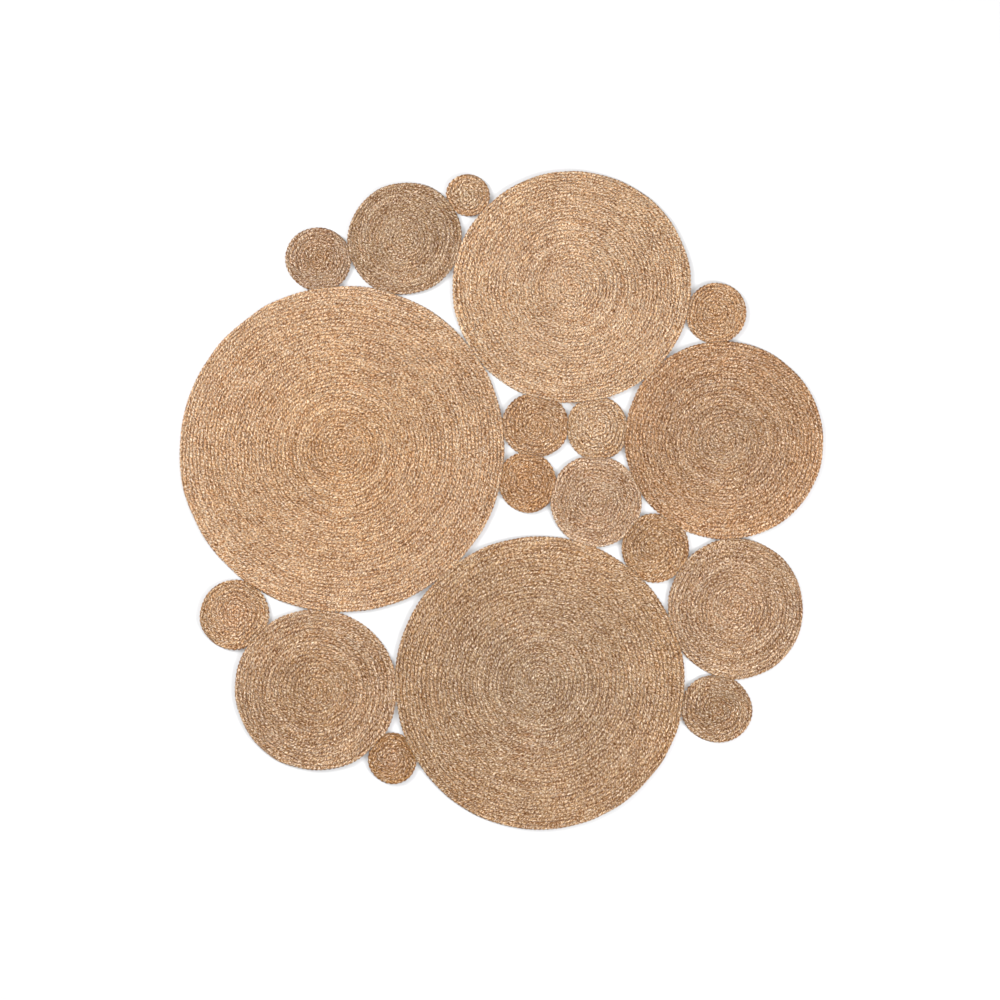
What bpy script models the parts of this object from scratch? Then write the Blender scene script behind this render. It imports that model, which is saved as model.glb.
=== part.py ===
"""Round jute rug: eighteen flat coils of plaited jute, laid edge to edge and sewn where they meet.

A strip of three-strand plait stands on its edge and winds round and round into a coil. Each coil
is one closed solid here: a flat underside, a rounded rim, and ribs on top that run round it, one
for every two rows of the plait. Where two coils press on each other both are flattened.
Metres, +Z up. The origin is on the floor, in the middle of the rug's box.
"""

import math
from collections import namedtuple

import bmesh
import bpy
from mathutils import Matrix, Vector

THICKNESS = 0.009  # the plait's width, which stands upright
ROW_PITCH = 0.0087  # from one row of the plait to the next
ROWS_PER_RIB = 2
RIB_DEPTH = 0.0026  # from a rib's crest down to the groove beside it
RIM_HEIGHT = 0.0045  # where the outer row is widest
FOOT_INSET = 0.0015  # how far the outer row draws in again at the floor
CLEARANCE = 0.0003  # left between two coils that press on each other

# How many straight steps go round a coil, by the radius that they are good for.
STEPS_BY_RADIUS = ((0.045, 12), (0.170, 24), (math.inf, 36))
FEWEST_RIM_STEPS = 24

# Shades of undyed jute, as seen on the rug.
PALE_GOLD = (0.77, 0.62, 0.49)
HONEY = (0.74, 0.59, 0.46)
TAN = (0.72, 0.57, 0.44)
GREYED = (0.70, 0.57, 0.45)
BROWN = (0.68, 0.54, 0.42)
JUTE_ROUGHNESS = 0.85

# Centre, mean radius, and how far the coil is out of round: its long half-axis is the radius
# plus oval, its short one the radius less oval, and turn is the long one's direction in degrees.
Coil = namedtuple("Coil", "name x y radius oval turn shade")
COILS = (
    Coil("coil_west", -0.363, 0.117, 0.371, 0.003, 55, PALE_GOLD),
    Coil("coil_south", 0.087, -0.416, 0.332, 0.002, 85, GREYED),
    Coil("coil_north", 0.160, 0.486, 0.268, 0.004, 5, PALE_GOLD),
    Coil("coil_east", 0.507, 0.137, 0.226, 0.002, -45, HONEY),
    Coil("coil_southwest", -0.422, -0.431, 0.184, 0.001, -25, TAN),
    Coil("coil_southeast", 0.533, -0.246, 0.157, 0.004, -85, HONEY),
    Coil("coil_northwest", -0.221, 0.596, 0.129, 0.003, 35, GREYED),
    Coil("coil_centre", 0.215, -0.002, 0.104, 0.001, -35, HONEY),
    Coil("small_west", -0.608, -0.260, 0.079, 0.001, 55, HONEY),
    Coil("small_southeast", 0.490, -0.475, 0.079, 0.003, -25, BROWN),
    Coil("small_inner_east", 0.350, -0.108, 0.078, 0.001, -85, TAN),
    Coil("small_inner_northwest", 0.077, 0.171, 0.075, 0.002, 0, TAN),
    Coil("small_northwest", -0.417, 0.549, 0.074, 0.002, -20, GREYED),
    Coil("small_inner_northeast", 0.218, 0.165, 0.072, 0.002, -70, PALE_GOLD),
    Coil("small_northeast", 0.489, 0.426, 0.069, 0.001, 55, HONEY),
    Coil("small_inner_west", 0.059, 0.042, 0.068, 0.002, -70, TAN),
    Coil("small_south", -0.248, -0.588, 0.057, 0.001, 75, BROWN),
    Coil("small_north", -0.076, 0.695, 0.049, 0.002, -25, HONEY),
)


def clear_scene():
    for obj in list(bpy.data.objects):
        bpy.data.objects.remove(obj, do_unlink=True)


def to_linear(shade):
    """A screen colour's channels as the linear values that a shader takes."""
    return [c / 12.92 if c <= 0.04045 else ((c + 0.055) / 1.055) ** 2.4 for c in shade]


def jute_material(coil):
    material = bpy.data.materials.new(f"jute_{coil.name}")
    material.use_nodes = True
    shader = material.node_tree.nodes["Principled BSDF"]
    shader.inputs["Base Color"].default_value = (*to_linear(coil.shade), 1.0)
    shader.inputs["Roughness"].default_value = JUTE_ROUGHNESS
    shader.inputs["Metallic"].default_value = 0.0
    return material


def reach(coil, direction):
    """From a coil's centre to its rim, in a direction given in radians."""
    along = (coil.radius + coil.oval) * math.sin(direction - math.radians(coil.turn))
    across = (coil.radius - coil.oval) * math.cos(direction - math.radians(coil.turn))
    return (coil.radius**2 - coil.oval**2) / math.hypot(along, across)


def contacts(coil):
    """(direction, distance) of each straight stretch where a neighbour presses on the coil.

    It is the chord that the two outlines share, so both coils are flattened over one width.
    """
    found = []
    for other in COILS:
        if other is coil:
            continue
        between = Vector((other.x - coil.x, other.y - coil.y))
        direction = math.atan2(between.y, between.x)
        own, others = reach(coil, direction), reach(other, direction + math.pi)
        if own + others > between.length:
            chord = (between.length_squared + own**2 - others**2) / (2 * between.length)
            found.append((direction, chord - CLEARANCE / 2))
    return found


def half_section(radius):
    """(radius, height) along the coil's surface, from the middle of the top out to the foot."""
    ribs = round(radius / (ROW_PITCH * ROWS_PER_RIB))
    pitch = radius / ribs
    points = [(pitch / 2, THICKNESS)]
    for groove in range(1, ribs):
        points.append((groove * pitch, THICKNESS - RIB_DEPTH))
        points.append(((groove + 0.5) * pitch, THICKNESS))
    points[-1] = (radius - ROW_PITCH / 2, THICKNESS)
    points.append((radius, RIM_HEIGHT))
    points.append((radius - FOOT_INSET, 0.0))
    return points


def steps_round(radius):
    return next(steps for limit, steps in STEPS_BY_RADIUS if radius < limit)


def ribbed_disc(radius):
    """A round coil about the origin: one circle for each point of the section, bridged in turn."""
    mesh = bmesh.new()
    section = half_section(radius)
    rim_rows = section[-3:]
    inner_edges = []
    for point in section:
        steps = steps_round(point[0])
        if point in rim_rows:
            steps = max(steps, FEWEST_RIM_STEPS)
        circle = bmesh.ops.create_circle(
            mesh,
            cap_ends=point in (section[0], section[-1]),
            segments=steps,
            radius=point[0],
            matrix=Matrix.Translation((0.0, 0.0, point[1])),
        )
        edges = list({edge for vert in circle["verts"] for edge in vert.link_edges})
        if inner_edges:
            bmesh.ops.bridge_loops(mesh, edges=inner_edges + edges)
        inner_edges = edges
    bmesh.ops.recalc_face_normals(mesh, faces=mesh.faces)
    return mesh


def flatten_contact(mesh, direction, distance):
    """Cuts the mesh off at a plane across the given direction and closes the cut."""
    normal = Vector((math.cos(direction), math.sin(direction), 0.0))
    cut = bmesh.ops.bisect_plane(
        mesh,
        geom=mesh.verts[:] + mesh.edges[:] + mesh.faces[:],
        plane_co=normal * distance,
        plane_no=normal,
        clear_outer=True,
    )
    outline = [item for item in cut["geom_cut"] if isinstance(item, bmesh.types.BMEdge)]
    if outline:
        bmesh.ops.contextual_create(mesh, geom=outline)


def make_coil(coil, collection):
    mesh = ribbed_disc(coil.radius)
    stretch = Vector((1 + coil.oval / coil.radius, 1 - coil.oval / coil.radius, 1.0))
    bmesh.ops.scale(mesh, vec=stretch, verts=mesh.verts)
    turn = math.radians(coil.turn)
    for direction, distance in contacts(coil):
        flatten_contact(mesh, direction - turn, distance)
    bmesh.ops.recalc_face_normals(mesh, faces=mesh.faces)
    data = bpy.data.meshes.new(coil.name)
    mesh.to_mesh(data)
    mesh.free()
    data.shade_smooth()
    data.set_sharp_from_angle(angle=math.radians(55))
    data.materials.append(jute_material(coil))
    obj = bpy.data.objects.new(coil.name, data)
    obj.location = (coil.x, coil.y, 0.0)
    obj.rotation_euler.z = turn
    collection.objects.link(obj)


def main():
    clear_scene()
    rug = bpy.data.collections.new("round_jute_rug")
    bpy.context.scene.collection.children.link(rug)
    for coil in COILS:
        make_coil(coil, rug)


main()
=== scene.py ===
"""Round jute rug: dresses its eighteen coils in wound plait, sews them together and lights them.

Run as a script it loads the frame, registers the add-on below and calls its operators in order.
Metres throughout, +Z up, the floor at z = 0.
"""

import math
from collections import namedtuple
from functools import partialmethod

import bmesh
import bpy
from mathutils import Matrix, Vector, noise


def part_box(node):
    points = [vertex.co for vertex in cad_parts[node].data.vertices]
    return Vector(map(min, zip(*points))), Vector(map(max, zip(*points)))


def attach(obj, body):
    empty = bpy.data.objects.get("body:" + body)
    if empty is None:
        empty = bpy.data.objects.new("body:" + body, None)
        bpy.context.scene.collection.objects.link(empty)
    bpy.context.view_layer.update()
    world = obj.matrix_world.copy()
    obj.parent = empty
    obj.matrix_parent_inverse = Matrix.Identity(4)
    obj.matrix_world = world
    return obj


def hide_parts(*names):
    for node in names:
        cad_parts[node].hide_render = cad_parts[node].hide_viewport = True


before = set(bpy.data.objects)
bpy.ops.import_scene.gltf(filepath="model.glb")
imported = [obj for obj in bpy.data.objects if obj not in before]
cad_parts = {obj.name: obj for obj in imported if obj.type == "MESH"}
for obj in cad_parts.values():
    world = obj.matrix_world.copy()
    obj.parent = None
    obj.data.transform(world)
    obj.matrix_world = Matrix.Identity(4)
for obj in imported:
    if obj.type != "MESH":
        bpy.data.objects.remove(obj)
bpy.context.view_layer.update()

bl_info = {
    "name": "Round jute rug",
    "version": (1, 0, 0),
    "blender": (4, 5, 0),
    "location": "3D View > Sidebar > Jute rug",
    "description": "Winds, sews and lights a rug of plaited jute coils",
    "category": "Object",
}

TURN = 2 * math.pi
MERGE_DISTANCE = 0.00002  # points nearer than this become one
OUTLINE_STEPS = 360  # directions in which a coil's rim is measured
DIRECTIONS = [TURN * step / OUTLINE_STEPS for step in range(OUTLINE_STEPS)]


# ---- Formulas as nodes


class Value:
    """A node's output that can stand in a formula; each operator adds a Math node."""

    def __init__(self, wires, socket):
        self.wires = wires
        self.socket = socket

    def math(self, operation, *others):
        return self.wires.math(operation, self, *others)

    def __rsub__(self, other):
        return self.wires.math("SUBTRACT", other, self)

    __add__ = __radd__ = partialmethod(math, "ADD")
    __sub__ = partialmethod(math, "SUBTRACT")
    __mul__ = __rmul__ = partialmethod(math, "MULTIPLY")
    __truediv__ = partialmethod(math, "DIVIDE")
    __pow__ = partialmethod(math, "POWER")
    __lt__ = partialmethod(math, "LESS_THAN")
    __gt__ = partialmethod(math, "GREATER_THAN")


class Wires:
    """Adds nodes to one tree and joins their sockets."""

    def __init__(self, tree):
        self.tree = tree

    def feed(self, socket, value):
        if isinstance(value, Value):
            value = value.socket
        if isinstance(value, bpy.types.NodeSocket):
            self.tree.links.new(value, socket)
        else:
            socket.default_value = value

    def node(self, kind, inputs=(), **settings):
        """A new node; inputs maps a socket's name or place to a value, a socket or a Value."""
        node = self.tree.nodes.new(kind)
        for key, value in settings.items():
            setattr(node, key, value)
        for key, value in dict(inputs).items():
            self.feed(node.inputs[key], value)
        return node

    def value(self, kind, inputs=(), output=0, **settings):
        return Value(self, self.node(kind, inputs, **settings).outputs[output])

    def math(self, operation, *values):
        return self.value("ShaderNodeMath", dict(enumerate(values)), operation=operation)

    def weighed(self, start, *terms):
        """start plus (value - middle) * weight for each term."""
        total = start
        for value, middle, weight in terms:
            total = (value - middle) * weight + total
        return total

    def clamp(self, value):
        node = self.node("ShaderNodeMath", {0: value, 1: 0.0}, operation="ADD", use_clamp=True)
        return Value(self, node.outputs[0])

    def vector(self, x, y, z):
        return self.value("ShaderNodeCombineXYZ", {0: x, 1: y, 2: z})

    def polar(self, angle, radius, height):
        return self.vector(angle.math("COSINE") * radius, angle.math("SINE") * radius, height)

    def split(self, vector):
        node = self.node("ShaderNodeSeparateXYZ", {0: vector})
        return [Value(self, output) for output in node.outputs]

    def either(self, first, second):
        return self.value("FunctionNodeBooleanMath", {0: first, 1: second}, operation="OR")

    def noise(self, place, scale=1.0, detail=0.0, dimensions="3D"):
        """Smooth chance, about 0 to 1, at a vector or, in one dimension, a number."""
        socket = "W" if dimensions == "1D" else "Vector"
        inputs = {socket: place, "Scale": scale, "Detail": detail}
        return self.value("ShaderNodeTexNoise", inputs, noise_dimensions=dimensions)

    def random(self, low, high, seed):
        """A random vector for each point."""
        inputs = {"Min": low, "Max": high, "Seed": seed}
        return self.value("FunctionNodeRandomValue", inputs, data_type="FLOAT_VECTOR")

    def position(self):
        return self.value("GeometryNodeInputPosition")

    def sampled(self, geometry, value, index, kind="FLOAT_VECTOR"):
        """The value that a geometry's point of some index has."""
        inputs = {"Geometry": geometry, "Value": value, "Index": index}
        return self.value("GeometryNodeSampleIndex", inputs, data_type=kind)

    def moved(self, geometry, position, selection=True):
        inputs = {"Geometry": geometry, "Selection": selection, "Position": position}
        return self.value("GeometryNodeSetPosition", inputs)

    def merged(self, geometry):
        inputs = {"Geometry": geometry, "Distance": MERGE_DISTANCE}
        return self.value("GeometryNodeMergeByDistance", inputs)

    def noted(self, geometry, name, value, domain):
        """The geometry with a vector kept on it under a name."""
        inputs = {"Geometry": geometry, "Name": name, "Value": value}
        kinds = {"data_type": "FLOAT_VECTOR", "domain": domain}
        return self.value("GeometryNodeStoreNamedAttribute", inputs, **kinds)


def new_tree(name, geometry, group, more=()):
    """(wires, sizes) of a new geometry tree, where sizes is {name: Value} of its inputs.

    These are a geometry, more as (name, default), a group's numbers, a seed and a material.
    """
    tree = bpy.data.node_groups.new(name, "GeometryNodeTree")
    inputs = {geometry: ("Geometry", None)}
    inputs |= {label: ("Float", default) for label, default in more}
    for key in group.__annotations__:
        setting = group.bl_rna.properties[key]
        inputs[setting.name] = ("Float", setting.default)
    inputs |= {"Seed": ("Int", 0), "Material": ("Material", None)}
    for label, (kind, default) in inputs.items():
        socket = tree.interface.new_socket(label, in_out="INPUT", socket_type=f"NodeSocket{kind}")
        if default is not None:
            socket.default_value = default
    tree.interface.new_socket("Geometry", in_out="OUTPUT", socket_type="NodeSocketGeometry")
    wires = Wires(tree)
    source = tree.nodes.new("NodeGroupInput")
    return wires, {label: Value(wires, source.outputs[label]) for label in inputs}


def finish_tree(wires, geometry, material):
    """Ends a geometry tree in real faces with one material."""
    real = wires.value("GeometryNodeRealizeInstances", {0: geometry})
    dressed = wires.value("GeometryNodeSetMaterial", {"Geometry": real, "Material": material})
    wires.node("NodeGroupOutput", {0: dressed})
    return wires.tree


def run_tree(obj, tree, values):
    """The plain mesh that a geometry tree makes from an object; values is {input: value}."""
    modifier = obj.modifiers.new("make", "NODES")
    modifier.node_group = tree
    for item in tree.interface.items_tree:
        if item.in_out == "INPUT" and item.name in values:
            modifier[item.identifier] = values[item.name]
    graph = bpy.context.evaluated_depsgraph_get()
    graph.update()
    mesh = bpy.data.meshes.new_from_object(obj.evaluated_get(graph), depsgraph=graph)
    obj.modifiers.remove(modifier)
    return mesh


# ---- The plait, wound into a coil

TAPER_POWER = 0.7  # how bluntly the plait's end narrows
PRESS_POWER = 1.5  # how quickly pressing dies out from the rim inwards
LEAN_SETS_IN = 0.03  # length of plait over which the lobes begin to lean
LEAN_FADES = 0.012  # and over which they stand straight again at its end
LEAN_MIDDLE = 0.001  # keeps the lean small at the coil's very middle
WIDE_WOBBLES, CLOSE_WOBBLES = 9.0, 55.0  # noise cells to a metre, for rows that stray
LOBE_SHIFT = 14.0  # of the lobes' uneven spacing, in columns for a crowding of 1
VALLEY_PULL = 0.7  # of the columns towards the valleys, for a crowding of 1
CROWDING = 0.3
CROWDING_CHANGES = 0.35  # noise cells to a lobe
TOP_STEPS, TOP_LINES = 4, 4  # columns for each lobe and faces across the row, on top
UNDER_STEPS, UNDER_LINES = 1, 2  # and on the underside
UNDER_LOBE = 1.35  # the underside's lobe length, as a share of the top's
RIDGE_POWER = 0.55  # how broad a lobe is along the row
ARCH_POWER = 0.6  # how broad a row is from groove to groove
UNDER_GROOVE = 0.0022  # height of the grooves on the underside
FOOT_HEIGHT = 0.0008  # of the outer row's lowest edge
FOOT_INSET = 0.0021  # how far that edge is drawn in from the rim
RIM_LOOPS = ((-0.0004, 0.0042), (0.0002, 0.0026), (0.0012, 0.0012))  # drawn in, height

# Where on the plait a point lies: the share of the way across the row, the lobes before it, how
# much of its full width the row has there, whether it is in the last turn, and its turn.
Spot = namedtuple("Spot", "across place fullness last_turn turn")


def whole_turn(radius, pitch):
    """Angle turned by the plait that fills a coil; takes numbers or Values."""
    return (radius / pitch + 0.5) * TURN


def whole_length(radius, pitch):
    """Length of the plait that fills a coil; takes numbers or Values."""
    end = whole_turn(radius, pitch)
    return pitch * (end**2 / (2 * TURN) - end / 2 + math.pi / 2)


class Winding:
    """The rule by which one strip of plait is wound into a coil, as formulas in a geometry tree.

    Along the strip everything follows the angle turned since its start. The groove that
    separates two rows is one spiral; the row at an angle lies between the groove one turn
    earlier and the groove there. At its end the strip tapers and tucks in against the row inside.
    """

    def __init__(self, wires, sizes):
        self.wires = wires
        self.sizes = sizes
        self.pitch = sizes["Row pitch"]
        self.end = whole_turn(sizes["Mean radius"], self.pitch)
        self.length = whole_length(sizes["Mean radius"], self.pitch)
        self.taper = sizes["End taper"] / sizes["Mean radius"]

    def groove(self, angle):
        """Radius of the groove on the outer side of the row at an angle."""
        base = self.pitch * (self.end / TURN - 1.0)
        growing = self.pitch * angle.math("MAXIMUM", 0.0) / TURN
        left = ((self.end - angle) / self.taper).math("MAXIMUM", 0.0)
        full = self.pitch * (1.0 - self.taper / TURN)
        return growing.math("MINIMUM", base + full * left**TAPER_POWER)

    def angle_at(self, along):
        """Angle turned after a length of strip."""
        first = (along * (4 * TURN) / self.pitch).math("SQRT")
        later = (along * (2 * TURN) / self.pitch - math.pi**2).math("MAXIMUM", 0.0).math("SQRT")
        in_first_turn = along < self.pitch * (math.pi / 2)
        return first * in_first_turn + (later + math.pi) * (1.0 - in_first_turn)

    def length_at(self, angle):
        """Length of strip that is wound by the time it has turned an angle."""
        square = angle * angle / (2 * TURN)
        in_first_turn = angle < TURN
        later = square - angle / 2 + math.pi / 2
        return self.pitch * (square / 2 * in_first_turn + later * (1.0 - in_first_turn))

    def lean_at(self, angle, along, lean):
        """Angle by which the row's outer side is ahead of its inner side."""
        sets_in = self.wires.clamp(along / LEAN_SETS_IN)
        ramp = sets_in * self.wires.clamp((self.length - along) / LEAN_FADES)
        middle = (self.groove(angle) + self.groove(angle - TURN)) / 2 + LEAN_MIDDLE
        return self.pitch * lean * ramp / middle

    def rim(self, angle):
        """Radius that the rim would have in an angle's direction if nothing pressed on it."""
        back = (self.end - angle).math("FLOORED_MODULO", TURN)
        return self.groove(self.end - back)

    def measured_rim(self, angle):
        """Radius of the coil's real outline in an angle's direction."""
        steps = (angle + self.sizes["Start angle"]) * (OUTLINE_STEPS / TURN)
        place = steps.math("FLOORED_MODULO", OUTLINE_STEPS)
        inputs = {0: self.wires.position()}
        radius = self.wires.value("ShaderNodeVectorMath", inputs, 1, operation="LENGTH")
        low = place.math("FLOOR")
        high = (low + 1.0).math("FLOORED_MODULO", OUTLINE_STEPS)
        share = place - low
        before, after = (
            self.wires.sampled(self.sizes["Outline"], radius, index, "FLOAT")
            for index in (low, high)
        )
        return before * (1.0 - share) + after * share

    def pressed(self, angle, radius, inset):
        """Radius after the outer rows have been pressed to the real outline."""
        rim = self.rim(angle)
        band = self.sizes["Pressed band"].math("MINIMUM", self.sizes["Mean radius"] * 0.9)
        share = self.wires.clamp(1.0 - (rim - radius) / band) ** PRESS_POWER
        return radius + (self.measured_rim(angle) - inset - rim) * share, share

    def strip(self, steps, lines, lobe, lean, inset, height, crowding=0.0):
        """One skin of the wound strip, closed along its grooves.

        steps is the number of columns for each lobe and lines the number of faces across the
        row. height gives z and two more values for a Spot. crowding moves the columns between
        the grooves towards the valleys between lobes and makes the lobes uneven.
        """
        wires = self.wires
        lobes = (self.length / lobe).math("ROUND")
        columns = lobes * float(steps)
        inputs = {"Vertices X": columns + 1.0, "Vertices Y": lines + 1}
        grid = wires.value("GeometryNodeMeshGrid", inputs)
        index = wires.value("GeometryNodeInputIndex")
        column = (index / (lines + 1.0)).math("FLOOR")
        line = index - column * (lines + 1.0)
        across = 0.5 - (line * (math.pi / lines)).math("COSINE") * 0.5
        place = column / float(steps)
        inside = (line > 0.5) * (line < lines - 0.5) * (column > 0.5) * (column < columns - 0.5)
        along = (column + self.crowded(place, crowding) * inside) * (self.length / columns)
        unleaned = self.angle_at(along)
        angle = unleaned - (line / float(lines) - 0.5) * self.lean_at(unleaned, along, lean)
        inner, outer = self.groove(angle - TURN), self.groove(angle)
        fullness = wires.clamp((outer - inner) / self.pitch) ** 0.5
        last_turn = angle > self.end - TURN + 0.01
        radius, share = self.pressed(angle, inner + (outer - inner) * across, inset)
        direction = angle + self.sizes["Start angle"]
        spread = wires.polar(direction, radius, self.sizes["Seed"])
        wide, close = wires.noise(spread, WIDE_WOBBLES, 1.0), wires.noise(spread, CLOSE_WOBBLES)
        wobble = (wide - 0.5) * (1.0 - share) + (close - 0.5) * wires.clamp(3.0 - share * 3.0)
        radius = radius + wobble * self.sizes["Irregularity"]
        lift, draw_in, depth = height(Spot(across, place, fullness, last_turn, angle / TURN))
        radius = radius - draw_in
        laid = wires.moved(grid, wires.polar(direction, radius, lift))
        laid = self.remember(laid, place, across, depth)
        before = (angle - TURN).math("MAXIMUM", 0.0)
        ahead = 0.5 * self.lean_at(before, self.length_at(before), lean)
        beside = (self.length_at(before + ahead) * columns / self.length).math("ROUND")
        moved = wires.either(line < 0.5, column > columns - 0.5)
        return self.sewn(laid, moved, beside * (lines + 1.0) + lines)

    def crowded(self, place, crowding):
        """How many columns a column between the grooves moves along."""
        if not crowding:
            return 0.0
        chance = self.wires.noise(place * CROWDING_CHANGES + self.sizes["Seed"], dimensions="1D")
        shift = (chance - 0.5) * LOBE_SHIFT * crowding
        return shift - (place * TURN).math("SINE") * crowding * VALLEY_PULL

    def remember(self, mesh, place, across, depth):
        """Keeps each face corner's place on the plait: lobes along, share across, and depth, which
        the material turns into painted shade.
        """
        wires = self.wires
        noted = wires.noted(mesh, "plait_point", wires.vector(place, across, depth), "POINT")
        read = wires.value(
            "GeometryNodeInputNamedAttribute", {"Name": "plait_point"}, data_type="FLOAT_VECTOR"
        )
        return wires.noted(noted, "plait", read, "CORNER")

    def sewn(self, mesh, moved, beside):
        """The mesh with some points moved onto those beside them one turn before."""
        wires = self.wires
        target = wires.sampled(mesh, wires.position(), beside)
        return wires.merged(wires.moved(mesh, target, moved))


def coil_tree():
    """The geometry tree that winds a coil inside an outline, a ring of points."""
    more = (("Mean radius", 0.1), ("Start angle", 0.0))
    wires, sizes = new_tree("Wound plait", "Outline", JutePlait, more)
    winding = Winding(wires, sizes)

    def chance_of(lobe, salt):
        inputs = {"ID": lobe, "Seed": sizes["Seed"] + salt}
        return wires.value("FunctionNodeRandomValue", inputs, 1, data_type="FLOAT")

    def top_height(spot):
        lobe = spot.place.math("FLOOR")
        ridge = ((spot.place - lobe) * math.pi).math("SINE") ** RIDGE_POWER
        skewed = spot.across ** (0.75 + 0.5 * chance_of(lobe, 11.0))
        arch = (skewed * math.pi).math("SINE").math("MAXIMUM", 0.0) ** ARCH_POWER
        dip = sizes["Valley depth"] * (1.0 - ridge)
        dip = dip + chance_of(lobe, 5.0) * ridge * sizes["Lobe unevenness"]
        rise = (sizes["Thickness"] - sizes["Groove height"]) * spot.fullness * arch
        outer_line = spot.across > 0.99
        on_rim = outer_line * spot.last_turn
        draw_in = (1.0 - ridge) * on_rim * sizes["Rim bumps"]
        odd = spot.turn.math("FLOOR").math("FLOORED_MODULO", 2.0)
        deeper = outer_line * (1.0 - on_rim) * odd * sizes["Pair groove"]
        outwards = spot.across > 0.5
        strong = odd * outwards + (1.0 - odd) * (1.0 - outwards)
        # The third value is how deep a spot lies, which the material turns into painted shade: full
        # in the grooves and the valleys between lobes, a little less on the rim and along every
        # second, shallower groove.
        bright = arch.math("MAXIMUM", on_rim * 0.15).math("MAXIMUM", (1.0 - strong) * 0.2)
        return sizes["Groove height"] + rise * (1.0 - dip) - deeper, draw_in, 1.0 - bright * ridge

    def under_height(spot):
        arch = (spot.across * math.pi).math("SINE").math("MAXIMUM", 0.0)
        on_rim = (spot.across > 0.99) * spot.last_turn
        groove = UNDER_GROOVE * (1.0 - arch * spot.fullness)
        # The underside lies half deep, so it gets an even, light painted shade.
        return groove * (1.0 - on_rim) + on_rim * FOOT_HEIGHT, 0.0, 0.5

    lobe, lean = sizes["Lobe length"], sizes["Lean"]
    top = winding.strip(TOP_STEPS, TOP_LINES, lobe, lean, 0.0, top_height, CROWDING)
    under_lobe = lobe * UNDER_LOBE
    under = winding.strip(UNDER_STEPS, UNDER_LINES, under_lobe, 0.0, FOOT_INSET, under_height)
    return finish_tree(wires, add_rim(wires, top, under), sizes["Material"])


def on_boundary(wires):
    return wires.value("GeometryNodeInputMeshEdgeNeighbors") < 1.5


def add_rim(wires, top, under):
    """Runs the top skin's edge down round the outer row, and joins it to the underside."""
    selection = on_boundary(wires)
    skin, inset_before = top, 0.0
    for inset, height in (*RIM_LOOPS, (FOOT_INSET, FOOT_HEIGHT)):
        inputs = {"Mesh": skin, "Selection": selection, "Offset Scale": 0.0}
        extruded = wires.node("GeometryNodeExtrudeMesh", inputs, mode="EDGES")
        skin, selection = (Value(wires, extruded.outputs[name]) for name in ("Mesh", "Top"))
        x, y, _ = wires.split(wires.position())
        radius = (x * x + y * y).math("SQRT")
        scale = 1.0 - wires.math("DIVIDE", inset - inset_before, radius)
        skin = wires.moved(skin, wires.vector(x * scale, y * scale, height), selection)
        inset_before = inset
    inputs = {"Geometry": under, "Selection": on_boundary(wires)}
    edge = wires.value("GeometryNodeSeparateGeometry", inputs, domain="EDGE")
    nearest = wires.value("GeometryNodeSampleNearest", {"Geometry": edge})
    skin = wires.moved(skin, wires.sampled(edge, wires.position(), nearest), selection)
    joined = wires.node("GeometryNodeJoinGeometry")
    for part in (skin, under):
        wires.tree.links.new(part.socket, joined.inputs[0])
    return wires.merged(joined.outputs[0])


# ---- Outlines, measured on the frame

RIM_HEIGHT = 0.0045  # where the outer row of every coil in the frame is widest
SOFTENING = ((-2, 0.1), (-1, 0.2), (0, 0.4), (1, 0.2), (2, 0.1))
PLAIT_SWELL = 0.0005  # how far the plait's lobes stand out from the frame's rim
WAVES_A_METRE = 16.0
WAVE_HEIGHT = 0.0022  # how far a coil's rim strays from its even outline at most


def rim_corners(node):
    """(middle, corners): a node's middle, and its rim's corners round it, in order."""
    low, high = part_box(node)
    middle = (Vector(low) + Vector(high)).to_2d() / 2
    rim = {
        (round(vertex.co.x, 6), round(vertex.co.y, 6))
        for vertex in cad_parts[node].data.vertices
        if abs(vertex.co.z - RIM_HEIGHT) < 0.0002
    }
    corners = [Vector(corner) - middle for corner in rim]
    return middle, sorted(corners, key=lambda corner: math.atan2(corner.y, corner.x))


def side_hit(corners, ray):
    """(distance, share along the side, side's ends) where a ray meets the outline."""
    for start, end in zip(corners, corners[1:] + corners[:1]):
        side = end - start
        turn = ray.x * side.y - ray.y * side.x
        if abs(turn) < 1e-12:
            continue
        distance = (start.x * side.y - start.y * side.x) / turn
        along = (start.x * ray.y - start.y * ray.x) / turn
        if distance > 0 and -1e-6 <= along <= 1 + 1e-6:
            return distance, along, (start, end)
    raise RuntimeError("a coil's outline isn't closed round its middle")


def coil_outlines():
    """{node: (middle, radii)}: every coil's middle, and its rim's distance all the way round.

    The frame's sides are straight. Where no neighbour presses, they are bowed out to an arc.
    """
    rims = {node: rim_corners(node) for node in DRESSES}
    outlines = {}
    for node, (middle, corners) in rims.items():
        pressed = []
        for other, (other_middle, other_corners) in rims.items():
            between = other_middle - middle
            if other == node:
                continue
            reach, _, side = side_hit(corners, between.normalized())
            other_reach, _, _ = side_hit(other_corners, -between.normalized())
            if reach + other_reach > between.length - SEAM_GAP:
                pressed.append(side)
        radii = []
        for angle in DIRECTIONS:
            ray = Vector((math.cos(angle), math.sin(angle)))
            reach, along, side = side_hit(corners, ray)
            if side not in pressed:
                reach += (side[1] - side[0]).length_squared / (2 * reach) * along * (1 - along)
                place = middle + ray * reach
                reach += noise.noise(Vector((*place, 0.5)) * WAVES_A_METRE) * WAVE_HEIGHT
            radii.append(reach)
        outlines[node] = middle, [
            sum(share * radii[(step + offset) % OUTLINE_STEPS] for offset, share in SOFTENING)
            + PLAIT_SWELL
            for step in range(OUTLINE_STEPS)
        ]
    return outlines


# ---- What each coil wears

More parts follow.
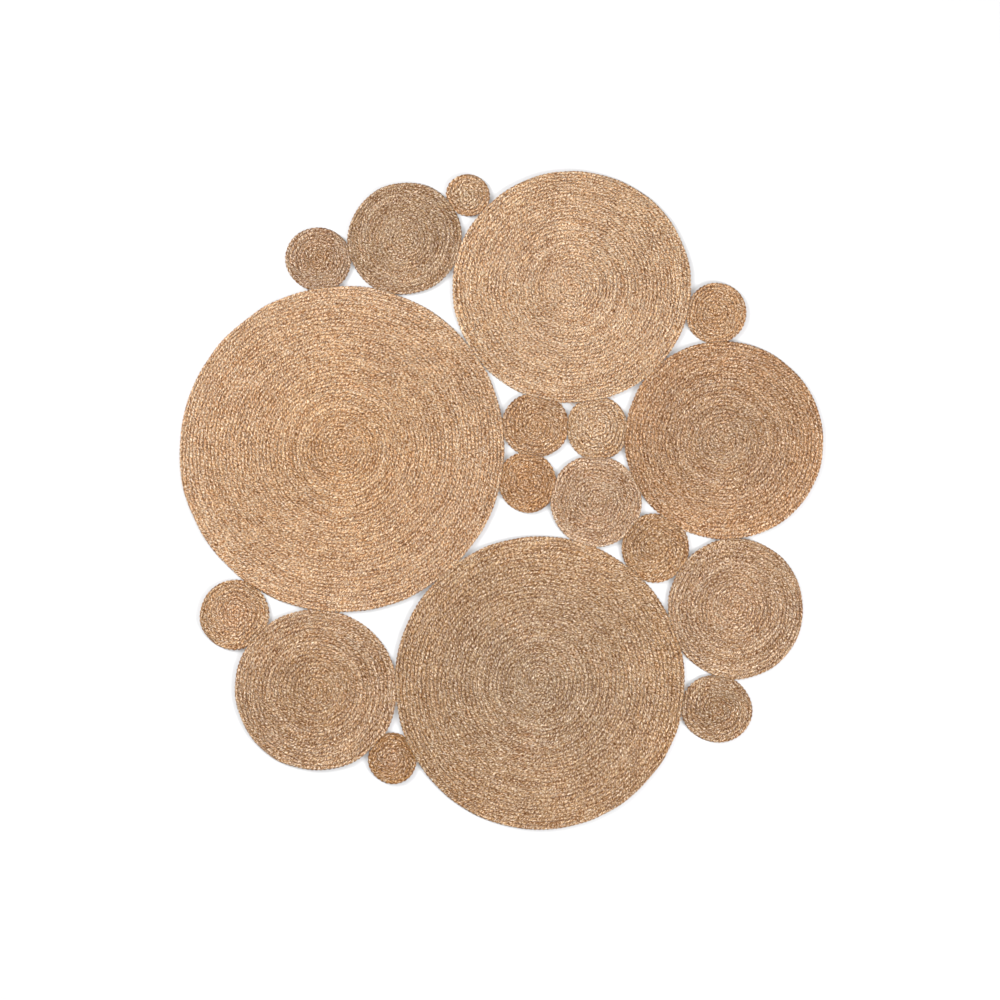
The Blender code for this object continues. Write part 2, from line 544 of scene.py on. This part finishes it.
# The record's slot, the shade round the middle and at the rim, the direction in which the plait
# starts, in degrees, and the coil's row pitch as a share of the plait's usual one.
Dress = namedtuple("Dress", "slot middle rim start pitch")
PALE_GOLD, HONEY, TAN = "jute_pale_gold", "jute_honey", "jute_tan"
GREYED, BROWN = "jute_greyed", "jute_brown"
DRESSES = {
    "coil_west": Dress(PALE_GOLD, (198, 153, 107), (203, 160, 118), 20, 0.97),
    "coil_south": Dress(GREYED, (164, 137, 103), (174, 139, 99), 250, 1.04),
    "coil_north": Dress(PALE_GOLD, (210, 168, 127), (211, 167, 124), 140, 0.95),
    "coil_east": Dress(HONEY, (169, 137, 101), (181, 139, 97), 310, 0.99),
    "coil_southwest": Dress(TAN, (167, 133, 94), (182, 147, 109), 75, 1.06),
    "coil_southeast": Dress(HONEY, (174, 140, 104), (173, 141, 105), 200, 0.99),
    "coil_northwest": Dress(GREYED, (171, 142, 107), (166, 136, 101), 95, 0.93),
    "coil_centre": Dress(HONEY, (168, 138, 104), (186, 151, 115), 10, 0.93),
    "small_west": Dress(HONEY, (189, 146, 106), (179, 143, 102), 260, 1.07),
    "small_southeast": Dress(BROWN, (137, 110, 77), (162, 132, 97), 150, 1.08),
    "small_inner_east": Dress(TAN, (163, 129, 90), (167, 130, 89), 330, 1.06),
    "small_inner_northwest": Dress(TAN, (174, 136, 95), (171, 133, 93), 45, 1.02),
    "small_northwest": Dress(GREYED, (157, 124, 88), (169, 140, 109), 220, 0.93),
    "small_inner_northeast": Dress(PALE_GOLD, (208, 171, 132), (185, 149, 108), 170, 0.99),
    "small_northeast": Dress(HONEY, (181, 141, 99), (187, 145, 102), 285, 0.94),
    "small_inner_west": Dress(TAN, (175, 131, 87), (172, 130, 86), 115, 0.95),
    "small_south": Dress(BROWN, (169, 135, 100), (154, 113, 65), 350, 1.09),
    "small_north": Dress(HONEY, (188, 160, 125), (176, 135, 92), 60, 1.00),
}


def to_linear(shade):
    """A screen colour of 0 to 255 a channel as a shader's linear colour."""
    fractions = [channel / 255 for channel in shade]
    return [f / 12.92 if f <= 0.04045 else ((f + 0.055) / 1.055) ** 2.4 for f in fractions]


# ---- Materials

# Sizes of noises on the plait: cells to a lobe's length and to a row's width, a shift that tells
# one noise from the next, and the noise's detail.
Cells = namedtuple("Cells", "to_lobe to_row shift detail")
BUNDLES = Cells(4.8, 3.4, 0.0, 0.0)
# PITS spot the painted shade in the gaps between strands.
PITS = Cells(4.2, 3.2, 120.0, 0.0)
STREAKS = Cells(11.0, 2.2, 20.0, 3.0)
YARN_WAVER = Cells(1.6, 2.2, 70.0, 0.0)
TUFT_WAVER = Cells(2.0, 2.0, 90.0, 0.0)
FIBRES = Cells(24.0, 3.0, 50.0, 2.0)
# Changes along the plait: cells to a lobe, and a shift.
STRAND_CHANGES = (0.1, 0.0)
BAND_CHANGES = (0.006, 11.3)
# GROOVE_BREAKS break the grooves' painted shade into stretches.
GROOVE_BREAKS = (0.1, 55.0)
# Noises on the rug as a whole: cells to a metre, and detail.
PATCHES = (7.0, 3.0)
FLECKS = (75.0, 1.0)
MOTTLES = (90.0, 2.0)  # on threads

STRAND_APART = 37.7  # between two strands' places in the noise along the plait
SIDE_TOP = 0.0053  # below this height a face is on the outer row's side or the underside
SIDE_SLANT = 1.3  # lobes that the pattern moves along on its way down the side
USUAL_ROW = 0.0087  # a row's width, for the pattern on the side

# Where jute is darker it is browner and where it is lighter it is creamier, so green and blue
# follow the brightness more steeply than red does.
GREEN_POWER = 1.35
BLUE_POWER = 2.0
DARKEST = 0.12
PALEST = (0.82, 0.7, 0.56)
FLOOR_SHADE = (0.54, 0.54, 0.545)
FIBRE_SHADE = (222, 192, 155)


def linear_mix(wires, share, first, second):
    """first where share is 0, second where it is 1; both are colours or colour sockets."""
    node = wires.node("ShaderNodeMix", data_type="RGBA", clamp_factor=True)
    wires.feed(node.inputs["Factor"], share)
    for place, colour in ((6, first), (7, second)):
        if not isinstance(colour, Value):
            colour = (*colour, 1.0)
        wires.feed(node.inputs[place], colour)
    return Value(wires, node.outputs[2])


def combined(wires, operation, first, second):
    return wires.value("ShaderNodeVectorMath", {0: first, 1: second}, operation=operation)


def brightened(wires, colour, factor):
    return wires.value("ShaderNodeVectorMath", {0: colour, "Scale": factor}, operation="SCALE")


def dull_material(name, roughness, specular):
    """(material, wires, shader) of a new material with little shine."""
    material = bpy.data.materials.new(name)
    material.use_nodes = True
    shader = material.node_tree.nodes["Principled BSDF"]
    shader.inputs["Roughness"].default_value = roughness
    shader.inputs["Specular IOR Level"].default_value = specular
    return material, Wires(material.node_tree), shader


class Weave:
    """Where on the plait a face lies, and noises that follow it, as formulas in a material.

    Along the plait it counts in lobes, and across it in shares of the row's width.
    """

    def __init__(self, wires):
        self.wires = wires
        point = wires.node("ShaderNodeAttribute", attribute_name="plait").outputs["Vector"]
        along, across, depth = wires.split(point)
        self.in_rug = wires.node("ShaderNodeTexCoord").outputs["Object"]
        _, _, height = wires.split(self.in_rug)
        down = (SIDE_TOP - height).math("MAXIMUM", 0.0) / USUAL_ROW
        self.along, self.across = along + down * SIDE_SLANT, across + down
        # How deep a face lies, which sets the painted shade in the grooves, the valleys between
        # lobes and, partly, the pits.
        self.sunk_shade = wires.clamp(depth)
        self.lobe = self.along.math("FLOOR")
        self.place = self.along - self.lobe
        chance = wires.node("ShaderNodeTexWhiteNoise", {"W": self.lobe}, noise_dimensions="1D")
        self.tone = Value(wires, chance.outputs["Value"])
        self.chances = wires.split(Value(wires, chance.outputs["Color"]))

    def changing(self, scale, shift):
        """Smooth chance that changes along the plait, 0 to 1."""
        return self.wires.noise(self.along * scale + shift, detail=1.0, dimensions="1D")

    def streaked(self, cells):
        """Noise in streaks that run the way of the fibres in a lobe, about 0 to 1."""
        first, second, _ = self.chances
        point = self.wires.vector(
            self.place * cells.to_lobe + first * 40.0 + cells.shift,
            self.across * cells.to_row + second * 40.0,
            0.0,
        )
        return self.wires.noise(point, detail=cells.detail, dimensions="2D")

    def yarns(self, colours):
        """(roundness, tone, hue, gap) of the yarn that a face is on, each 0 to 1."""
        wires = self.wires
        place = self.place * colours.yarns + self.streaked(YARN_WAVER) * 1.8
        yarn = place.math("FLOOR")
        roundness = ((place - yarn) * math.pi).math("SINE")
        tuft = (self.across * colours.tufts + self.streaked(TUFT_WAVER) * 1.5).math("FLOOR")
        first, second, _ = self.chances
        point = wires.vector(yarn * 3.7 + first * 91.0, second * 83.0, tuft * 5.3)
        chance = wires.node("ShaderNodeTexWhiteNoise", {"Vector": point})
        hue, gap, _ = wires.split(Value(wires, chance.outputs["Color"]))
        return roundness, Value(wires, chance.outputs["Value"]), hue, gap


def jute_material(name, dress, lobes, colours):
    """Plaited jute, whose pattern follows the plait round the coil, with shade painted into its
    grooves and into the gaps between strands and yarns.
    """
    material, wires, shader = dull_material(name, 0.9, 0.25)
    weave = Weave(wires)
    bundle, streak = weave.streaked(BUNDLES), weave.streaked(STREAKS)
    roundness, yarn_tone, yarn_hue, yarn_gap = weave.yarns(colours)
    strand = weave.lobe.math("FLOORED_MODULO", 3.0)
    scale, shift = STRAND_CHANGES
    strand_tone = weave.changing(scale, strand * STRAND_APART + shift)
    patch, fleck = wires.noise(weave.in_rug, *PATCHES), wires.noise(weave.in_rug, *FLECKS)
    lobe_hue = weave.chances[2]

    # Each term is a chance, its middle and its weight.
    ginger = wires.weighed(
        0.0,
        (strand_tone, 0.52, 1.6),
        (patch, 0.5, 1.8),
        (lobe_hue, 0.5, 0.3),
        (yarn_hue, 0.5, 0.2),
        (fleck, 0.5, 1.6),
    )
    grey = wires.weighed(0.1, (strand_tone, 0.46, -1.6), (patch, 0.5, -1.4))
    cream = wires.weighed(
        0.0, (streak, 0.56, 4.0), (bundle, 0.55, 4.0), (yarn_tone, 0.7, 2.0), (weave.tone, 0.6, 0.2)
    )
    ginger, grey, cream = wires.clamp(ginger), wires.clamp(grey), wires.clamp(cream)
    outwards = wires.clamp((weave.along / lobes).math("SQRT") * 1.25 - 0.2)
    colour = linear_mix(wires, outwards, to_linear(dress.middle), to_linear(dress.rim))
    colour = linear_mix(wires, ginger * colours.ginger_share, colour, colours.ginger)
    colour = linear_mix(wires, grey * colours.grey_share, colour, colours.grey)
    colour = linear_mix(wires, cream * colours.cream_share, colour, colours.cream)

    brightness = wires.weighed(
        1.0,
        (weave.tone, 0.5, colours.lobe_contrast),
        (streak, 0.5, colours.streak_contrast),
        (bundle, 0.5, colours.bundle_contrast),
        (yarn_tone, 0.5, colours.yarn_contrast),
        (weave.changing(*BAND_CHANGES), 0.5, 0.35),
        (patch, 0.5, 0.4),
    )
    light = brightness.math("MAXIMUM", DARKEST)
    green = light * (1.0 + (yarn_hue - 0.5) * 0.04)
    light = wires.vector(light, green**GREEN_POWER, light**BLUE_POWER)
    colour = brightened(wires, combined(wires, "MULTIPLY", colour, light), colours.lightness)
    colour = combined(wires, "MINIMUM", colour, PALEST)

    # Painted shade, mixed into the base colour towards the pit colour: grooves and valleys by their
    # depth, pits between strands and gaps between yarns.
    broken = wires.clamp((weave.changing(*GROOVE_BREAKS) - 0.43) * 6.0)
    # Painted shade of the gaps between strands: spotted at random, and more often where the plait
    # lies deep.
    pit = weave.streaked(PITS) + weave.sunk_shade * 0.11 + lobe_hue * 0.04
    pit = wires.clamp((pit - 0.62) * 7.5)
    # Painted shade in the gaps between neighbouring yarns.
    between = (1.0 - roundness) ** 2.0 * wires.clamp(yarn_gap * 2.0 - 0.4)
    painted_shade = weave.sunk_shade**2.0 * broken * colours.groove_painted_shade + pit * colours.pit_painted_shade
    painted_shade = wires.clamp(painted_shade + between * colours.gap_painted_shade)
    wires.feed(shader.inputs["Base Color"], linear_mix(wires, painted_shade, colour, colours.pit))
    wires.feed(shader.inputs["Roughness"], 0.92 - cream * 0.22)

    height = weave.streaked(FIBRES) * 0.5 + streak * 0.8 + bundle * 1.2 + roundness * 0.8
    inputs = {"Height": height, "Strength": 0.9, "Distance": 0.0013}
    wires.feed(shader.inputs["Normal"], wires.value("ShaderNodeBump", inputs))
    return material


def thread_material(name, shade):
    """A thin jute thread or fibre of nearly even colour."""
    material, wires, shader = dull_material(name, 0.8, 0.25)
    mottle = wires.noise(wires.node("ShaderNodeTexCoord").outputs["Object"], *MOTTLES)
    colour = brightened(wires, wires.vector(*shade), 0.6 + mottle * 0.8)
    wires.feed(shader.inputs["Base Color"], colour)
    return material


# ---- Threads and loose fibres

SEAM_GAP = 0.002  # coils nearer than this are sewn together
SEWN_SHARE = 0.85  # of the stretch along which two coils press on each other
SHORTEST_SEAM = 0.012
THREAD_HEIGHT = 0.0068  # of the seams' stitches
FIBRE_HEIGHT = 0.0085  # at which the loose fibres lie
FIBRE_MARGIN = 0.003  # how far inside a coil's rim they stay


def bent_thread(wires, half, ends, middle, steps, sides, radius):
    """A closed thread along x; ends is the height of both its ends."""
    start, end = wires.vector(half * -1.0, 0.0, ends), wires.vector(half, 0.0, ends)
    inputs = {"Resolution": steps, "Start": start, "Middle": middle, "End": end}
    bow = wires.value("GeometryNodeCurveQuadraticBezier", inputs)
    inputs = {"Resolution": sides, "Radius": radius}
    section = wires.value("GeometryNodeCurvePrimitiveCircle", inputs)
    inputs = {"Curve": bow, "Profile Curve": section, "Fill Caps": True}
    return wires.value("GeometryNodeCurveToMesh", inputs)


def stitch_tree():
    """Thread stitches that cross a line from one coil to the next, evenly along it."""
    wires, sizes = new_tree("Stitches along seams", "Seams", JuteThreads)
    half, dip = sizes["Stitch length"] / 2, sizes["Thread dip"]
    middle = wires.vector(0.0, 0.0, dip * 2.0)
    stitch = bent_thread(wires, half, dip * -1.5, middle, 6, 6, sizes["Thread radius"])
    line = wires.value("GeometryNodeMeshToCurve", {"Mesh": sizes["Seams"]})
    inputs = {"Curve": line, "Length": sizes["Stitch pitch"]}
    points = wires.value("GeometryNodeResampleCurve", inputs, mode="LENGTH")
    tangent = wires.value("GeometryNodeInputTangent")
    facing = wires.value(
        "FunctionNodeAlignEulerToVector", {"Vector": tangent}, axis="Y", pivot_axis="Z"
    )
    _, _, turn = wires.split(wires.random((0.0, 0.0, 0.0), (0.0, 0.0, 1.0), sizes["Seed"]))
    turned = wires.value(
        "FunctionNodeRotateEuler",
        {"Rotation": facing, "Rotate By": wires.vector(0.0, 0.0, sizes["Slant"] * (turn + 0.5))},
        rotation_type="EULER",
        space="LOCAL",
    )
    inputs = {"Points": points, "Instance": stitch, "Rotation": turned}
    placed = wires.value("GeometryNodeInstanceOnPoints", inputs)
    return finish_tree(wires, placed, sizes["Material"])


def fibre_tree():
    """Loose fibres that lie about on the coils, each bent its own way."""
    wires, sizes = new_tree("Loose fibres", "Tops", JuteFibres)
    half, rise = sizes["Fibre length"] / 2, sizes["Fibre rise"]
    middle = wires.vector(0.0, half * 0.8, rise)
    fibre = bent_thread(wires, half, rise * -0.35, middle, 5, 3, sizes["Fibre radius"])
    inputs = {"Mesh": sizes["Tops"], "Density": sizes["Fibres a square metre"]}
    inputs["Seed"] = sizes["Seed"]
    points = wires.value("GeometryNodeDistributePointsOnFaces", inputs)
    turns = wires.random((-0.25, -0.25, 0.0), (0.25, 0.25, TURN), sizes["Seed"])
    stretches = wires.random((0.35, -1.0, 0.3), (1.2, 1.0, 1.0), sizes["Seed"] + 1.0)
    inputs = {"Points": points, "Instance": fibre, "Rotation": turns, "Scale": stretches}
    placed = wires.value("GeometryNodeInstanceOnPoints", inputs)
    return finish_tree(wires, placed, sizes["Material"])


def seams(outlines):
    """(start, end) of every straight stretch along which two coils press on each other."""
    found = []
    names = list(outlines)
    for place, first in enumerate(names):
        for second in names[place + 1 :]:
            middle, radii = outlines[first]
            other, other_radii = outlines[second]
            between = other - middle
            reach = towards(radii, between)
            if reach + towards(other_radii, -between) < between.length - SEAM_GAP:
                continue
            mean = sum(radii) / OUTLINE_STEPS
            half = math.sqrt(max(mean**2 - reach**2, 0.0)) * SEWN_SHARE
            half = max(half, SHORTEST_SEAM / 2)
            centre = middle + between.normalized() * reach
            side = Vector((-between.y, between.x)).normalized() * half
            found.append((centre - side, centre + side))
    return found


def towards(radii, direction):
    """A coil's radius in a direction, given as a vector."""
    angle = math.atan2(direction.y, direction.x) % TURN
    return radii[round(angle * OUTLINE_STEPS / TURN) % OUTLINE_STEPS]


# ---- Making pieces


def new_object(name, mesh):
    obj = bpy.data.objects.new(name, mesh)
    bpy.context.scene.collection.objects.link(obj)
    return obj


def grown_mesh(tree, values, points, edges=(), faces=()):
    """The mesh that a geometry tree makes from a few points, edges and faces."""
    mesh = bpy.data.meshes.new("seed")
    mesh.from_pydata(points, edges, faces)
    seed = new_object("seed", mesh)
    grown = run_tree(seed, tree, values)
    bpy.data.objects.remove(seed)
    return grown


def outward_normals(mesh):
    """Turns every face outwards, and says whether the mesh is closed."""
    edit = bmesh.new()
    edit.from_mesh(mesh)
    bmesh.ops.recalc_face_normals(edit, faces=edit.faces)
    edit.to_mesh(mesh)
    closed = all(len(edge.link_faces) == 2 for edge in edit.edges)
    edit.free()
    return closed


def finished_piece(name, mesh, slot):
    if not outward_normals(mesh):
        raise RuntimeError(f"{name} isn't closed")
    mesh.name = name
    mesh.shade_smooth()
    obj = new_object(name, mesh)
    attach(obj, "root")
    return obj


def ring(radii, height, middle=(0.0, 0.0)):
    """Points at the given radii in every direction round a middle."""
    return [
        (middle[0] + radius * math.cos(angle), middle[1] + radius * math.sin(angle), height)
        for angle, radius in zip(DIRECTIONS, radii)
    ]


def settings_by_name(group):
    """{displayed name: value}, which feeds a geometry tree's inputs of the same names."""
    kinds = group.bl_rna.properties
    return {kinds[key].name: getattr(group, key) for key in group.__annotations__}


# ---- The add-on


def number(name, description, default, **kind):
    return bpy.props.FloatProperty(name=name, description=description, default=default, **kind)


def length(name, description, default):
    return number(name, description, default, unit="LENGTH", precision=5)


def share(name, description, default):
    return number(name, description, default, subtype="FACTOR")


def shade(name, description, default):
    return bpy.props.FloatVectorProperty(
        name=name, description=description, default=to_linear(default), size=3, subtype="COLOR"
    )


class JutePlait(bpy.types.PropertyGroup):
    row_pitch: length("Row pitch", "From one row of the plait to the next", 0.0087)
    lobe_length: length("Lobe length", "From one crossing of the strands to the next", 0.00973)
    thickness: length("Thickness", "The plait's width, which stands upright", 0.009)
    groove_height: length("Groove height", "Height of the grooves between the rows", 0.0055)
    valley_depth: share("Valley depth", "How deep the plait dips between its lobes", 0.4)
    lean: number("Lean", "How far a lobe leans along the row, in row pitches", 1.7)
    irregularity: length("Irregularity", "How far a row strays from its place", 0.0045)
    lobe_unevenness: share("Lobe unevenness", "How much lower the lowest lobes are", 0.22)
    rim_bumps: length("Rim bumps", "How far the rim draws in between two lobes", 0.003)
    pair_groove: length("Pair groove", "How much deeper every second groove is", 0.0002)
    pressed_band: length("Pressed band", "Width of the outer rows that neighbours press", 0.06)
    end_taper: length("End taper", "Length over which the plait's end tapers off", 0.1)
    seed: bpy.props.IntProperty(name="Seed", description="Chooses the irregularities", default=7)


class JuteColours(bpy.types.PropertyGroup):
    ginger: shade("Ginger", "Colour of the reddish strands", (186, 124, 72))
    grey: shade("Grey", "Colour of the greyed strands", (165, 144, 122))
    cream: shade("Cream", "Colour of the palest fibres", (236, 214, 186))
    # Pit is the colour of all painted shade: in the grooves, the pits between strands and the gaps
    # between yarns.
    pit: shade("Pit", "Colour deep between the strands", (84, 42, 10))
    thread: shade("Thread", "Colour of the sewing thread", (178, 142, 106))
    ginger_share: share("Ginger share", "How strongly strands turn ginger", 0.3)
    grey_share: share("Grey share", "How strongly strands turn grey", 0.4)
    cream_share: share("Cream share", "How strongly fibres turn cream", 0.2)
    lobe_contrast: share("Lobe contrast", "Difference in tone from lobe to lobe", 0.06)
    yarns: number("Yarns", "Yarns that lie side by side in one strand", 3.2)
    tufts: number("Tufts", "Changes of tone along a yarn within one lobe", 2.2)
    yarn_contrast: share("Yarn contrast", "Difference in tone from yarn to yarn", 0.35)
    gap_painted_shade: share("Gap painted shade", "How dark the gaps between yarns are", 0.9)
    bundle_contrast: share("Bundle contrast", "Difference in tone between fibre bundles", 2.9)
    streak_contrast: share("Streak contrast", "Difference in tone between fibres", 1.6)
    groove_painted_shade: share("Groove painted shade", "How much darker the grooves are", 0.46)
    pit_painted_shade: share("Pit painted shade", "How dark the gaps between strands are", 0.95)
    lightness: number("Lightness", "Multiplies every colour of the plait", 1.15)


class JuteThreads(bpy.types.PropertyGroup):
    stitch_pitch: length("Stitch pitch", "From one stitch to the next", 0.008)
    stitch_length: length("Stitch length", "Length of a stitch across the seam", 0.009)
    thread_radius: length("Thread radius", "Radius of the sewing thread", 0.0005)
    thread_dip: length("Thread dip", "How deep a stitch dips between the coils", 0.001)
    slant: number("Slant", "How far stitches turn from straight across", 0.5, subtype="ANGLE")


class JuteFibres(bpy.types.PropertyGroup):
    density: number("Fibres a square metre", "How many loose fibres lie about", 1800.0)
    fibre_length: length("Fibre length", "Length of the longer loose fibres", 0.018)
    fibre_radius: length("Fibre radius", "Radius of a loose fibre", 0.00012)
    fibre_rise: length("Fibre rise", "How far a fibre may rise in its middle", 0.004)


class JuteStage(bpy.types.PropertyGroup):
    floor_size: length("Floor size", "Side of the square floor", 30.0)
    camera_height: length("Camera height", "Height of the camera over the rug", 6.333)
    side_light: number("Side lights", "Power of each side light", 210.0, unit="POWER")
    top_light: number("Top light", "Power of the light overhead", 84.0, unit="POWER")
    sky: share("Sky", "Brightness of the even light all round", 0.52)


class JUTE_OT_coils(bpy.types.Operator):
    """Winds each of the frame's coils in plaited jute"""

    bl_idname = "jute.coils"
    bl_label = "Wind the coils"

    def execute(self, context):
        plait, colours = context.scene.jute_plait, context.scene.jute_colours
        tree = coil_tree()
        outlines = coil_outlines()
        for number, (node, dress) in enumerate(DRESSES.items()):
            middle, radii = outlines[node]
            mean = sum(radii) / OUTLINE_STEPS
            pitch = plait.row_pitch * dress.pitch
            lobes = round(whole_length(mean, pitch) / plait.lobe_length)
            values = settings_by_name(plait) | {
                "Mean radius": mean,
                "Row pitch": pitch,
                "Start angle": math.radians(dress.start),
                "Seed": plait.seed + number,
                "Material": jute_material(f"plaited_{node}", dress, lobes, colours),
            }
            mesh = grown_mesh(tree, values, ring(radii, 0.0))
            mesh.transform(Matrix.Translation((middle.x, middle.y, 0.0)))
            piece = finished_piece(f"plait_{node}", mesh, dress.slot)
            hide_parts(node)
            2 * mean
            2 * mean
            math.pi * mean**2
        return {"FINISHED"}


class JUTE_OT_threads(bpy.types.Operator):
    """Sews neighbouring coils together with jute thread"""

    bl_idname = "jute.threads"
    bl_label = "Sew the coils together"

    def execute(self, context):
        points, edges = [], []
        for start, end in seams(coil_outlines()):
            edges.append((len(points), len(points) + 1))
            points += [(*start, THREAD_HEIGHT), (*end, THREAD_HEIGHT)]
        values = settings_by_name(context.scene.jute_threads) | {
            "Seed": context.scene.jute_plait.seed,
            "Material": thread_material("jute_thread", context.scene.jute_colours.thread),
        }
        mesh = grown_mesh(stitch_tree(), values, points, edges)
        finished_piece("seam_stitches", mesh, HONEY)
        return {"FINISHED"}


class JUTE_OT_fibres(bpy.types.Operator):
    """Scatters loose jute fibres over the coils"""

    bl_idname = "jute.fibres"
    bl_label = "Scatter loose fibres"

    def execute(self, context):
        points, faces = [], []
        for middle, radii in coil_outlines().values():
            faces.append(list(range(len(points), len(points) + OUTLINE_STEPS)))
            points += ring([radius - FIBRE_MARGIN for radius in radii], FIBRE_HEIGHT, middle)
        values = settings_by_name(context.scene.jute_fibres) | {
            "Seed": context.scene.jute_plait.seed,
            "Material": thread_material("loose_fibre", to_linear(FIBRE_SHADE)),
        }
        mesh = grown_mesh(fibre_tree(), values, points, faces=faces)
        finished_piece("loose_fibres", mesh, PALE_GOLD)
        return {"FINISHED"}


SIDE_LIGHT_PLACE = (2.95, -1.7, 2.1)  # of the right-hand one; the other is opposite
TOP_LIGHT_PLACE = (-0.2, 0.5, 4.4)
SIDE_LIGHT_SIZE, TOP_LIGHT_SIZE = 1.6, 3.0
SKY_SHADE = (1.0, 0.995, 1.0, 1.0)
CAMERA_OVER = (-0.0034, 0.0011)
LENS_MM, SENSOR_MM = 100.0, 36.0
FARTHEST_SEEN = 100.0


class JUTE_OT_stage(bpy.types.Operator):
    """Sets up the pale floor, the soft light and the camera"""

    bl_idname = "jute.stage"
    bl_label = "Set the stage"

    def execute(self, context):
        settings = context.scene.jute_stage
        self.lay_floor(settings.floor_size)
        x, y, height = SIDE_LIGHT_PLACE
        for side in (-1, 1):
            place = (side * x, side * y, height)
            self.hang_light(f"side_light_{side}", place, SIDE_LIGHT_SIZE, settings.side_light)
        self.hang_light("top_light", TOP_LIGHT_PLACE, TOP_LIGHT_SIZE, settings.top_light)
        self.light_sky(settings.sky)
        self.place_camera(settings.camera_height)
        context.scene.view_settings.view_transform = "Standard"
        context.scene.view_settings.look = "None"
        return {"FINISHED"}

    def lay_floor(self, size):
        half = size / 2
        corners = [(-half, -half, 0.0), (half, -half, 0.0), (half, half, 0.0), (-half, half, 0.0)]
        mesh = bpy.data.meshes.new("floor")
        mesh.from_pydata(corners, [], [(0, 1, 2, 3)])
        material, _, shader = dull_material("pale_floor", 0.95, 0.1)
        shader.inputs["Base Color"].default_value = (*FLOOR_SHADE, 1.0)
        mesh.materials.append(material)
        new_object("floor", mesh)

    def hang_light(self, name, place, size, power):
        light = bpy.data.lights.new(name, "AREA")
        light.size = size
        light.energy = power
        lamp = new_object(name, light)
        lamp.location = place
        lamp.rotation_euler = (-Vector(place)).to_track_quat("-Z", "Y").to_euler()

    def light_sky(self, brightness):
        world = bpy.data.worlds.new("studio")
        world.use_nodes = True
        sky = world.node_tree.nodes["Background"]
        sky.inputs["Color"].default_value = SKY_SHADE
        sky.inputs["Strength"].default_value = brightness
        bpy.context.scene.world = world

    def place_camera(self, height):
        lens = bpy.data.cameras.new("camera")
        lens.lens = LENS_MM
        lens.sensor_width = SENSOR_MM
        lens.clip_end = FARTHEST_SEEN
        camera = new_object("camera", lens)
        camera.location = (*CAMERA_OVER, height)
        bpy.context.scene.camera = camera


class JUTE_PT_rug(bpy.types.Panel):
    bl_label = "Jute rug"
    bl_idname = "JUTE_PT_rug"
    bl_space_type = "VIEW_3D"
    bl_region_type = "UI"
    bl_category = "Jute rug"

    def draw(self, context):
        for operator in OPERATORS:
            self.layout.operator(operator.bl_idname)
        for title, group in GROUPS:
            box = self.layout.box()
            box.label(text=title)
            settings = getattr(context.scene, f"jute_{title.lower()}")
            for name in group.__annotations__:
                box.prop(settings, name)


GROUPS = (
    ("Plait", JutePlait),
    ("Colours", JuteColours),
    ("Threads", JuteThreads),
    ("Fibres", JuteFibres),
    ("Stage", JuteStage),
)
OPERATORS = (JUTE_OT_coils, JUTE_OT_threads, JUTE_OT_fibres, JUTE_OT_stage)
CLASSES = (*(group for _, group in GROUPS), *OPERATORS, JUTE_PT_rug)


def register():
    for kind in CLASSES:
        bpy.utils.register_class(kind)
    for title, group in GROUPS:
        name = f"jute_{title.lower()}"
        setattr(bpy.types.Scene, name, bpy.props.PointerProperty(type=group))


def unregister():
    for title, _ in GROUPS:
        delattr(bpy.types.Scene, f"jute_{title.lower()}")
    for kind in reversed(CLASSES):
        bpy.utils.unregister_class(kind)


def main():
    register()
    bpy.ops.jute.coils()
    bpy.ops.jute.threads()
    bpy.ops.jute.fibres()
    bpy.ops.jute.stage()


if __name__ == "__main__":
    main()
